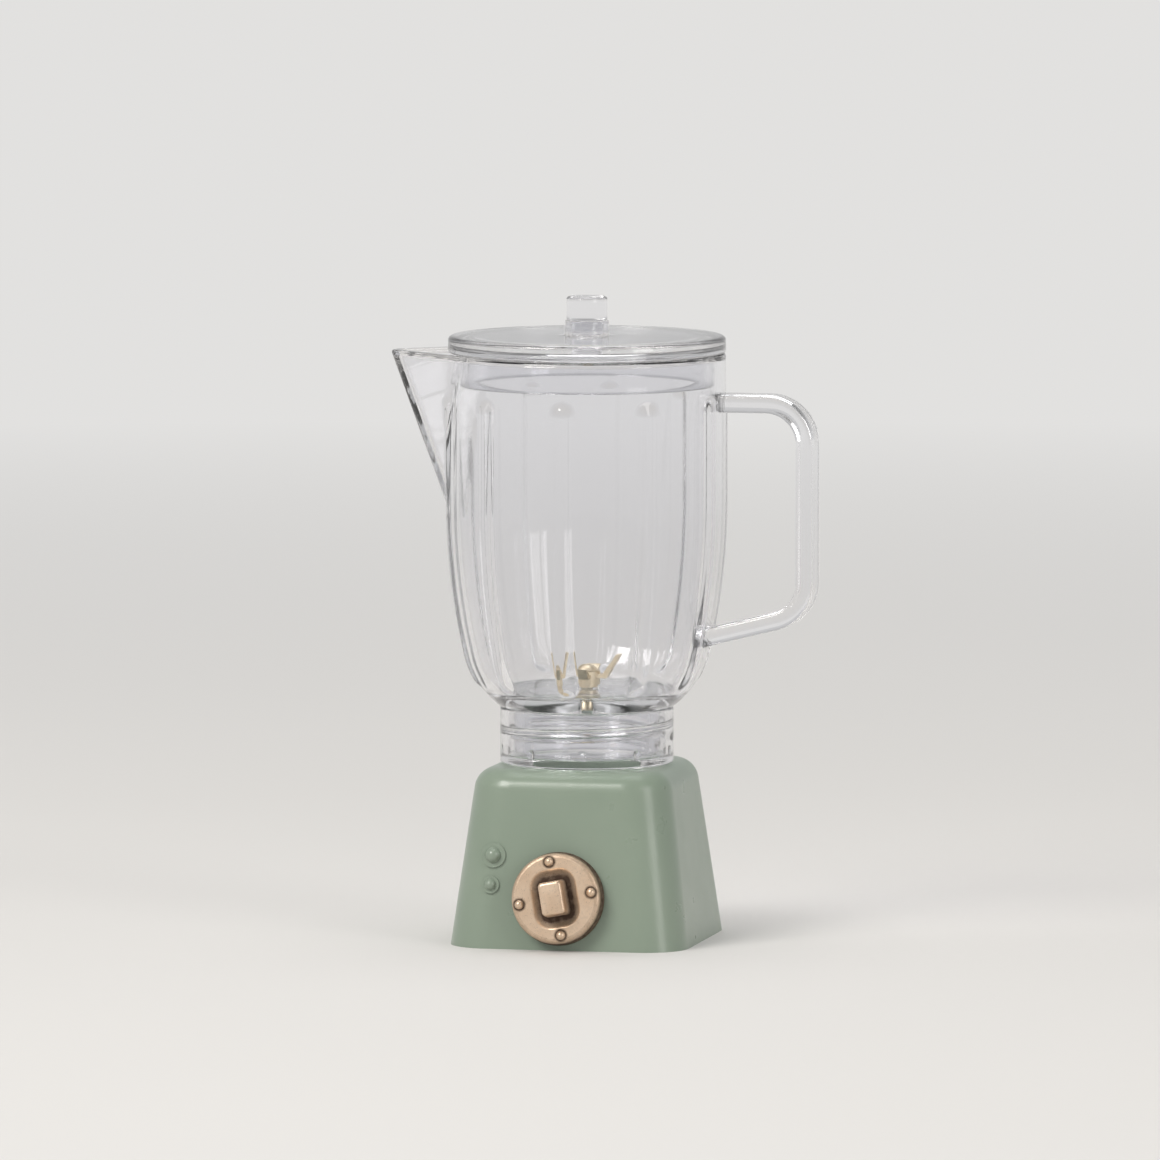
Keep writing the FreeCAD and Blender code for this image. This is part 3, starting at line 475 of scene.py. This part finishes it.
def spout_radius(angle, height, inset):
    """How far the pointed spout reaches from the axis in one direction, or 0 where it has no side."""
    rise = (height - SPOUT_FOOT) / (JUG_RIM - SPOUT_FOOT)
    away = abs(angle % math.tau - math.pi)
    lean = math.pi / 2 - SPOUT_ANGLE
    if rise < 0 or away > lean:
        return 0.0
    tip = SPOUT_TIP - inset
    centre = JUG_RADIUS - SPOUT_BITE + (SPOUT_REACH + SPOUT_BITE) * rise - SPOUT_TIP
    touch = math.atan2(tip * math.cos(SPOUT_ANGLE), centre + tip * math.sin(SPOUT_ANGLE))
    if away < touch:
        return centre * math.cos(away) + math.sqrt(max(tip ** 2 - (centre * math.sin(away)) ** 2, 0.0))
    return (centre * math.sin(SPOUT_ANGLE) + tip) / math.cos(away - lean)


def soft_max(a, b, blend):
    """The larger of two values with a rounded change from one to the other."""
    apart = max(blend - abs(a - b), 0.0) / blend
    return max(a, b) + apart * apart * blend / 4


def rib_height(angle, height):
    """The rib's rise at an angle and height on the jug's outside."""
    step = math.tau / RIBS
    off = (angle - RIB_SHIFT) % step - step / 2
    across = off * jug_line_radius(height, 0.0)
    past = max(height - (RIB_TOP - RIB_HALF_WIDTH), RIB_FOOT + RIB_HALF_WIDTH - height, 0.0)
    distance = math.hypot(across, past) / RIB_HALF_WIDTH
    return RIB_PROUD * (1 - distance ** 2) ** RIB_FALL if distance < 1 else 0.0


def thread_height(angle, height, start):
    """A ridge's rise on a threaded wall; the ridge fades in and out at its ends."""
    best = 0.0
    turn = (angle % math.tau) / math.tau
    for lap in range(int(THREAD_TURNS) + 2):
        along = lap + turn
        off = abs(height - (start + along * THREAD_PITCH))
        ends = smooth(0.0, THREAD_FADE, along) * smooth(0.0, THREAD_FADE, THREAD_TURNS - along)
        best = max(best, (1 - smooth(THREAD_CREST, THREAD_HALF_WIDTH, off)) * ends)
    return best * THREAD_DEPTH


def jug_angles():
    """Directions round the jug, closer together near the spout."""
    return [angle + JUG_TURN_CROWDING * math.sin(angle) for angle in even_angles(JUG_TURN_STEPS)]


def wall_heights(low, high):
    """Heights from low up to high, closer together near the bowl's foot."""
    return [low + (high - low) * (i / WALL_STEPS) ** WALL_CROWDING for i in range(WALL_STEPS)]


def build_jug():
    foot = COLLAR_TOP + REST_GAP
    neck_foot = jug_low.z
    ceiling = JUG_FLOOR - WALL
    boss_foot = JUG_FLOOR - PIN_DEPTH - BOSS_FLOOR
    inner = NECK_RADIUS - WALL
    bottom = rounded([
        (0, boss_foot, 0), (BOSS_RADIUS, boss_foot, EDGE_ROUND), (BOSS_RADIUS, ceiling, FOOT_ROUND),
        (inner, ceiling, CEILING_ROUND), (inner, neck_foot, EDGE_ROUND),
        (NECK_RADIUS, neck_foot, EDGE_ROUND), (NECK_RADIUS, foot, 0),
    ])
    bottom = bottom[:-1] + filled(bottom[-2:], THREAD_SPACING)[1:]
    straight = [Vector((JUG_RADIUS, SHOULDER)), Vector((JUG_RADIUS, JUG_RIM - JUG_LIP))]
    straight = filled(straight, RIM_SPACING)
    outside = [Vector((jug_line_radius(z, 0), z)) for z in wall_heights(foot, SHOULDER)] + straight
    rim = rounded([(JUG_RADIUS, SHOULDER, 0), (JUG_RADIUS, JUG_RIM, JUG_LIP),
                   (JUG_RADIUS - WALL, JUG_RIM, JUG_LIP), (JUG_RADIUS - WALL, SHOULDER, 0)])
    inside = [Vector((JUG_RADIUS - WALL, place.y)) for place in reversed(straight)]
    bowl_foot = JUG_FLOOR + BOWL_RISE
    falling = reversed(wall_heights(bowl_foot, SHOULDER))
    inside += [Vector((jug_line_radius(z, WALL), z)) for z in falling]
    floor = rounded([
        (jug_line_radius(bowl_foot, WALL), bowl_foot, 0),
        (jug_line_radius(JUG_FLOOR, WALL) - BOWL_INSET, JUG_FLOOR, BOWL_ROUND),
        (PIN_HOLE, JUG_FLOOR, HOLE_ROUND), (PIN_HOLE, JUG_FLOOR - PIN_DEPTH, 0),
        (0, JUG_FLOOR - PIN_DEPTH, 0),
    ])
    line = bottom + outside + rim[1:-1] + inside + floor[1:]
    hole_top = JUG_FLOOR + 0.2
    wall_slack = 0.01
    blend_rise = 3

    def shape(r, z, angle):
        if z < foot and abs(r - NECK_RADIUS) < TINY:
            return r + thread_height(angle, z, neck_foot + THREAD_START), z
        if z < foot or r < NECK_RADIUS and z < hole_top:
            return r, z
        inset = jug_line_radius(z, 0.0) - r
        if inset > WALL + wall_slack:
            return r, z
        if inset < TINY:
            r += rib_height(angle, z)
        reach = spout_radius(angle, z, SPOUT_WALL * min(max(inset / WALL, 0.0), 1.0))
        if reach > 0:
            r = soft_max(r, reach, SPOUT_BLEND * smooth(0, blend_rise, z - SPOUT_FOOT) + TINY)
        return r, z

    points, faces = lathe(line, jug_angles(), shape)
    dress(make_object("clear_jug", points, faces, "jug", "jug"), CLEAR)


def build_collar():
    foot = DECK + REST_GAP
    inner = COLLAR_RADIUS - COLLAR_WALL
    floor = foot + COLLAR_FLOOR
    line = rounded([
        (0, collar_low.z, 0), (COLLAR_PLUG, collar_low.z, FOOT_ROUND), (COLLAR_PLUG, foot, JOIN_ROUND),
        (COLLAR_RADIUS, foot, EDGE_ROUND), (COLLAR_RADIUS, COLLAR_TOP, EDGE_ROUND),
        (inner, COLLAR_TOP, EDGE_ROUND), (inner, floor, JOIN_ROUND), (0, floor, 0),
    ])
    thread_start = jug_low.z + THREAD_START + THREAD_PITCH / 2
    step = math.tau / COLLAR_TEETH
    wall_slack = 0.02
    crest, foot_width, fade = 0.1, 0.3, 0.4

    def shape(r, z, angle):
        if abs(r - inner) > wall_slack or z <= floor:
            return r, z
        off = abs((angle + step / 2) % step - step / 2) * inner
        across = 1 - smooth(crest, foot_width, off)
        up = 1 - smooth(TOOTH_HEIGHT - fade, TOOTH_HEIGHT, z - floor)
        tooth = TOOTH_DEPTH * across * up
        return r - max(thread_height(angle, z, thread_start), tooth), z

    points, faces = lathe(filled(line, COLLAR_SPACING), even_angles(COLLAR_TURN_STEPS), shape)
    dress(make_object("threaded_collar", points, faces, "jug", "jug_collar"), CLEAR)


def build_lid():
    seat = JUG_RIM + REST_GAP
    top = seat + LID_THICKNESS
    under = top - LID_PLATE
    skirt = JUG_RADIUS - WALL - SKIRT_GAP
    inner = skirt - SKIRT_WALL
    line = rounded([
        (CAP_BORE, under, FINE_ROUND), (inner, under, LID_HOLLOW_ROUND), (inner, lid_low.z, JOIN_ROUND),
        (skirt, lid_low.z, FOOT_ROUND), (skirt, seat, FINE_ROUND), (JUG_RADIUS, seat, EDGE_ROUND),
        (JUG_RADIUS, top, LID_TOP_ROUND), (SPIGOT_RADIUS, top, KNOB_ROUND),
        (SPIGOT_RADIUS, lid_high.z, FINE_ROUND), (CAP_BORE, lid_high.z, FINE_ROUND),
    ], 6, closed=True)
    points, faces = lathe(filled(line, LID_SPACING, closed=True), even_angles(LID_TURN_STEPS))
    dress(make_object("clear_lid", points, faces, "lid", "lid"), CLEAR)


def build_cap():
    seat = lid_high.z + REST_GAP
    line = rounded([
        (0, cap_low.z, 0), (CAP_PLUG, cap_low.z, EDGE_ROUND), (CAP_PLUG, seat, HOLE_ROUND),
        (cap_high.x, seat, FINE_ROUND), (cap_high.x, cap_high.z, KNOB_ROUND), (0, cap_high.z, 0),
    ], 6)
    points, faces = lathe(filled(line, CAP_SPACING), even_angles(CAP_TURN_STEPS))
    dress(make_object("clear_cap", points, faces, "filler_cap", "filler_cap"), CLEAR)


# Handle
def handle_wall(y, z):
    """Where the handle's ends meet the jug, at a distance beside the middle and a height."""
    return math.sqrt((jug_line_radius(z, 0.0) + REST_GAP) ** 2 - y ** 2)


def build_handle():
    top = handle_high.z - HANDLE_THICKNESS / 2
    grip = handle_high.x - HANDLE_THICKNESS / 2
    root = JUG_RADIUS - HANDLE_ROOT
    corner = HANDLE_FOOT + (grip - root) * math.tan(HANDLE_SLOPE)
    path = rounded([(root, top, 0), (grip, top, HANDLE_BEND), (grip, corner, HANDLE_BEND),
                    (root, HANDLE_FOOT, 0)], HANDLE_BEND_STEPS)
    path = filled(path, HANDLE_SPACING)
    section = list(reversed(rounded_section(HANDLE_THICKNESS / 2, handle_high.y, HANDLE_EDGE, 4)))
    rings = []
    outside = []
    for number, place in enumerate(path):
        along = (path[min(number + 1, len(path) - 1)] - path[max(number - 1, 0)]).normalized()
        ring = []
        for across, y in section:
            spot = place + Vector((-along.y, along.x)) * across
            wall = handle_wall(y, spot.y)
            ring.append((max(spot.x, wall), y, spot.y))
            if spot.x > wall:
                outside.append(number)
        rings.append(ring)
    points, faces = join_rings(rings[outside[0] - 1:outside[-1] + 2])
    dress(make_object("clear_handle", points, faces, "jug", "jug_handle"), CLEAR)


# Dial
def box_distance(x, y, half, corner):
    """Distance from a rounded rectangle's outline, negative inside."""
    dx = abs(x) - half[0] + corner
    dy = abs(y) - half[1] + corner
    return math.hypot(max(dx, 0.0), max(dy, 0.0)) + min(max(dx, dy), 0.0) - corner


def dial_height(x, y):
    """Height of the dial's front, lower in the well round the grip."""
    return DIAL_THICKNESS - WELL_DEPTH * smooth(*WELL_EDGE, box_distance(x, y, WELL_HALF, WELL_CORNER))


def dial_painted_shade(x, y):
    """How much painted shade the dial's front gets: in the well, round the grip's foot and round the
    studs.
    """
    edge = box_distance(x, y, WELL_HALF, WELL_CORNER)
    grip = box_distance(x, y, GRIP_HALF, GRIP_CORNER)
    painted_shade = smooth(0.15, -0.9, edge) * WELL_SHADE + smooth(0.9, 0.05, grip) * GRIP_FOOT_SHADE
    for stud in STUD_PLACES:
        off = math.dist((x, y), stud)
        painted_shade = max(painted_shade, STUD_RING_SHADE * smooth(0.3, 0.5, off) * (1 - smooth(0.6, 0.9, off)))
    return painted_shade


def rim_painted_shade(z):
    """Painted shade on the dial's side, darker towards its back."""
    return RIM_SHADE[0] + RIM_SHADE[1] * smooth(DIAL_THICKNESS - 0.2, DIAL_THICKNESS - 0.8, z)


def dial_disc():
    """The dial's disc in its own frame: points, painted shade values and faces."""
    turns = even_angles(DIAL_TURN_STEPS)
    flat = DIAL_FACE - DIAL_EDGE
    points = [(0, 0, dial_height(0, 0))]
    shade_values = [dial_painted_shade(0, 0)]
    rows = [[0]]
    side = rounded([(0, DIAL_THICKNESS, 0), (DIAL_FACE, DIAL_THICKNESS, DIAL_EDGE),
                    (DIAL_FOOT, 0, DIAL_BACK_ROUND), (DIAL_BACK_RADIUS, 0, 0)], 8)[1:]
    line = [(flat * i / DIAL_FACE_STEPS, None) for i in range(1, DIAL_FACE_STEPS + 1)]
    line += [tuple(place) for place in filled(side, DIAL_SIDE_SPACING)]
    for r, z in line:
        rows.append([len(points) + i for i in range(len(turns))])
        for angle in turns:
            x = r * math.cos(angle)
            y = r * math.sin(angle)
            points.append((x, y, dial_height(x, y) if z is None else z))
            shade_values.append(dial_painted_shade(x, y) if z is None else max(rim_painted_shade(z), dial_painted_shade(x, y)))
    faces = []
    for lower, upper in zip(rows, rows[1:]):
        for i in range(len(turns)):
            j = (i + 1) % len(turns)
            if len(lower) == 1:
                faces.append((lower[0], upper[i], upper[j]))
            else:
                faces.append((lower[i], upper[i], upper[j], lower[j]))
    faces.append(tuple(reversed(rows[-1])))
    return points, shade_values, faces


def dial_grip():
    """The raised grip in the dial's frame, drafted and rounded at its top."""
    foot = DIAL_THICKNESS - WELL_DEPTH - GRIP_SUNK
    top = DIAL_THICKNESS + GRIP_HEIGHT
    straight = top - GRIP_EDGE - foot
    levels = [(foot + straight * i / GRIP_SIDE_STEPS, 0.0) for i in range(GRIP_SIDE_STEPS + 1)]
    for i in range(1, GRIP_EDGE_STEPS + 1):
        t = math.pi / 2 * i / GRIP_EDGE_STEPS
        levels.append((top - GRIP_EDGE + GRIP_EDGE * math.sin(t), GRIP_EDGE * (1 - math.cos(t))))
    rings = []
    shade_values = []
    for z, inset in levels:
        draft = GRIP_DRAFT * (z - foot) + inset
        corner = max(GRIP_CORNER - inset * 0.5, HOLE_ROUND)
        ring = rounded_section(GRIP_HALF[0] - draft, GRIP_HALF[1] - draft, corner, 5)
        rings.append([(x, y, z) for x, y in ring])
        # Painted shade on the grip's sides, darker towards its foot
        painted_shade = GRIP_SIDE_SHADE * smooth(DIAL_THICKNESS + 1.2, DIAL_THICKNESS - 0.4, z)
        shade_values += [painted_shade] * len(ring)
    points, faces = join_rings(rings)
    return points, shade_values, faces


def dial_stem():
    """The stem behind the disc in the dial's frame."""
    sunk = 0.1
    line = rounded([(0, -STEM_LENGTH, 0), (STEM_RADIUS, -STEM_LENGTH, HOLE_ROUND),
                    (STEM_RADIUS, sunk, 0), (0, sunk, 0)])
    points, faces = lathe(line, even_angles(STEM_TURN_STEPS))
    # The stem gets a little painted shade as well
    return points, [STEM_SHADE] * len(points), faces


def dial_stud(stud):
    """One ball-shaped stud in the dial's frame."""
    turns = [math.pi * (i / STUD_RISE_STEPS - 0.5) for i in range(STUD_RISE_STEPS + 1)]
    line = [Vector((STUD_RADIUS * math.cos(turn), STUD_RADIUS * math.sin(turn))) for turn in turns]
    line[0].x = 0
    line[-1].x = 0
    points, faces = lathe(line, even_angles(STUD_TURN_STEPS))
    # Painted shade on the stud's back half, where it meets the dial's face
    shade_values = [STUD_FOOT_SHADE * smooth(0.35, 0.1, z) for x, y, z in points]
    middle = DIAL_THICKNESS - STUD_SINK
    return [(x + stud[0], y + stud[1], z + middle) for x, y, z in points], shade_values, faces


def build_dial():
    points, shade_values, faces = dial_disc()
    for more in [dial_grip(), dial_stem()] + [dial_stud(stud) for stud in STUD_PLACES]:
        start = len(points)
        points += more[0]
        shade_values += more[1]
        faces += [tuple(start + i for i in face) for face in more[2]]
    out = Vector((0, -math.cos(BASE_LEAN), math.sin(BASE_LEAN)))
    up = Vector((0, math.sin(BASE_LEAN), math.cos(BASE_LEAN)))
    front = Vector((DIAL_X, DIAL_Z * math.tan(BASE_LEAN) - BASE_HALF, DIAL_Z)) + out * DIAL_GAP
    turned = []
    for x, y, z in points:
        across = x * math.cos(DIAL_TURN) - y * math.sin(DIAL_TURN)
        along = x * math.sin(DIAL_TURN) + y * math.cos(DIAL_TURN)
        turned.append(front + Vector((across, 0, 0)) + up * along + out * z)
    item = make_object("gold_dial", turned, faces, "dial", "dial")
    # The point attribute holds the painted shade that darkens the gold
    layer = item.data.attributes.new("painted_shade", "FLOAT", "POINT")
    layer.data.foreach_set("value", [min(painted_shade, 1.0) for painted_shade in shade_values])
    dress(item, GOLD)


MINT = mint_plastic()
GOLD = aged_gold()
CLEAR = clear_plastic()
BLADE = plated_metal("blade_metal", srgb(226, 214, 190), srgb(204, 188, 158), 0.34)
STEEL = plated_metal("screw_steel", srgb(176, 176, 172), srgb(140, 140, 138), 0.35)

build_jug()
build_collar()
build_lid()
build_cap()
build_handle()
build_dial()
for node in ("base_housing", "base_cover"):
    dress(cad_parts[node], MINT)
for node in ("dial_washer", "dial_screw", "cover_screws"):
    dress(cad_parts[node], STEEL)
for node in ("blade", "blade_pin"):
    dress(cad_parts[node], BLADE)


# Camera at the photograph's viewing angle
def add_camera():
    target = Vector((4.29, -22.5, 42.9)) * MM
    distance = 1564.8 * MM
    azimuth = math.radians(12.77)
    elevation = math.radians(5.45)
    back = Vector((math.sin(azimuth) * math.cos(elevation), -math.cos(azimuth) * math.cos(elevation),
                   math.sin(elevation)))
    data = bpy.data.cameras.new("camera")
    data.sensor_width = 36.0
    data.lens = 434.483
    data.clip_start = 0.01
    data.clip_end = 50.0
    camera = bpy.data.objects.new("camera", data)
    bpy.context.scene.collection.objects.link(camera)
    camera.location = target + back * distance
    camera.rotation_euler = back.to_track_quat("Z", "Y").to_euler()
    bpy.context.scene.camera = camera


# Floor, world and lights
BACKDROP = 0.76
BACKDROP_TOP = 0.24
AMBIENT = 0.42


def seen_directly(nodes, links):
    """1 for rays from the camera, from gloss and through clear plastic, 0 for light on the object."""
    path = nodes.new("ShaderNodeLightPath")
    first = add_math(nodes, links, "MAXIMUM", path.outputs["Is Camera Ray"], path.outputs["Is Glossy Ray"])
    return add_math(nodes, links, "MAXIMUM", first, path.outputs["Is Transmission Ray"])


def add_floor():
    """A pale sheet under the toy that turns into an even backdrop further away."""
    size = 8.0
    mesh = bpy.data.meshes.new("floor")
    mesh.from_pydata([(-size, -size, 0), (size, -size, 0), (size, size, 0), (-size, size, 0)],
                     [], [(0, 1, 2, 3)])
    floor = bpy.data.objects.new("floor", mesh)
    bpy.context.scene.collection.objects.link(floor)
    material, nodes, links, shader = new_material("pale_floor")
    tone = spread(nodes, links, add_noise(nodes, links, 3.0, 2.0), 0.0, 1.0)
    links.new(mix_colours(nodes, links, tone, srgb(212, 210, 207), srgb(215, 213, 210)),
              shader.inputs["Base Color"])
    shader.inputs["Roughness"].default_value = 0.7
    shader.inputs["Specular IOR Level"].default_value = 0.2
    where = nodes.new("ShaderNodeTexCoord")
    length = nodes.new("ShaderNodeVectorMath")
    length.operation = "LENGTH"
    links.new(where.outputs["Object"], length.inputs[0])
    far = map_range(nodes, links, length.outputs["Value"], 0.15, 0.7, 0.0, 1.0)
    factor = add_math(nodes, links, "MULTIPLY", far, seen_directly(nodes, links))
    glow = nodes.new("ShaderNodeEmission")
    glow.inputs["Color"].default_value = (BACKDROP, BACKDROP * 0.99, BACKDROP * 0.975, 1.0)
    mix = nodes.new("ShaderNodeMixShader")
    links.new(factor, mix.inputs["Fac"])
    links.new(shader.outputs["BSDF"], mix.inputs[1])
    links.new(glow.outputs["Emission"], mix.inputs[2])
    links.new(mix.outputs["Shader"], nodes["Material Output"].inputs["Surface"])
    floor.data.materials.append(material)


def add_world():
    """Even grey light, seen as a backdrop that darkens upwards."""
    world = bpy.data.worlds.new("studio")
    bpy.context.scene.world = world
    world.use_nodes = True
    nodes = world.node_tree.nodes
    links = world.node_tree.links
    light = nodes["Background"]
    light.inputs["Color"].default_value = (1.0, 1.0, 1.0, 1.0)
    light.inputs["Strength"].default_value = AMBIENT
    where = nodes.new("ShaderNodeTexCoord")
    parts = nodes.new("ShaderNodeSeparateXYZ")
    links.new(where.outputs["Generated"], parts.inputs["Vector"])
    shade = map_range(nodes, links, parts.outputs["Z"], 0.05, 0.8, BACKDROP, BACKDROP_TOP)
    seen = nodes.new("ShaderNodeBackground")
    links.new(shade, seen.inputs["Strength"])
    mix = nodes.new("ShaderNodeMixShader")
    links.new(seen_directly(nodes, links), mix.inputs["Fac"])
    links.new(light.outputs["Background"], mix.inputs[1])
    links.new(seen.outputs["Background"], mix.inputs[2])
    links.new(mix.outputs["Shader"], nodes["World Output"].inputs["Surface"])


def add_area(name, place, width, height, power, colour):
    aim = Vector((0.0, 0.0, 0.04))
    light = bpy.data.lights.new(name, "AREA")
    light.shape = "RECTANGLE"
    light.size = width
    light.size_y = height
    light.energy = power
    light.color = colour
    item = bpy.data.objects.new(name, light)
    bpy.context.scene.collection.objects.link(item)
    item.location = place
    item.rotation_euler = (Vector(place) - aim).to_track_quat("Z", "Y").to_euler()


add_camera()
add_floor()
add_world()
add_area("key", place=(-0.40, -0.60, 0.62), width=0.40, height=0.40, power=5.2, colour=(1.0, 0.975, 0.94))
add_area("fill", place=(0.60, -0.35, 0.30), width=0.25, height=0.50, power=1.2, colour=(1.0, 0.98, 0.96))
add_area("top", place=(0.0, 0.15, 0.80), width=0.50, height=0.50, power=2.6, colour=(1.0, 1.0, 1.0))
scene = bpy.context.scene
scene.view_settings.view_transform = "Standard"
scene.cycles.max_bounces = 20
scene.cycles.transmission_bounces = 20
scene.cycles.glossy_bounces = 12
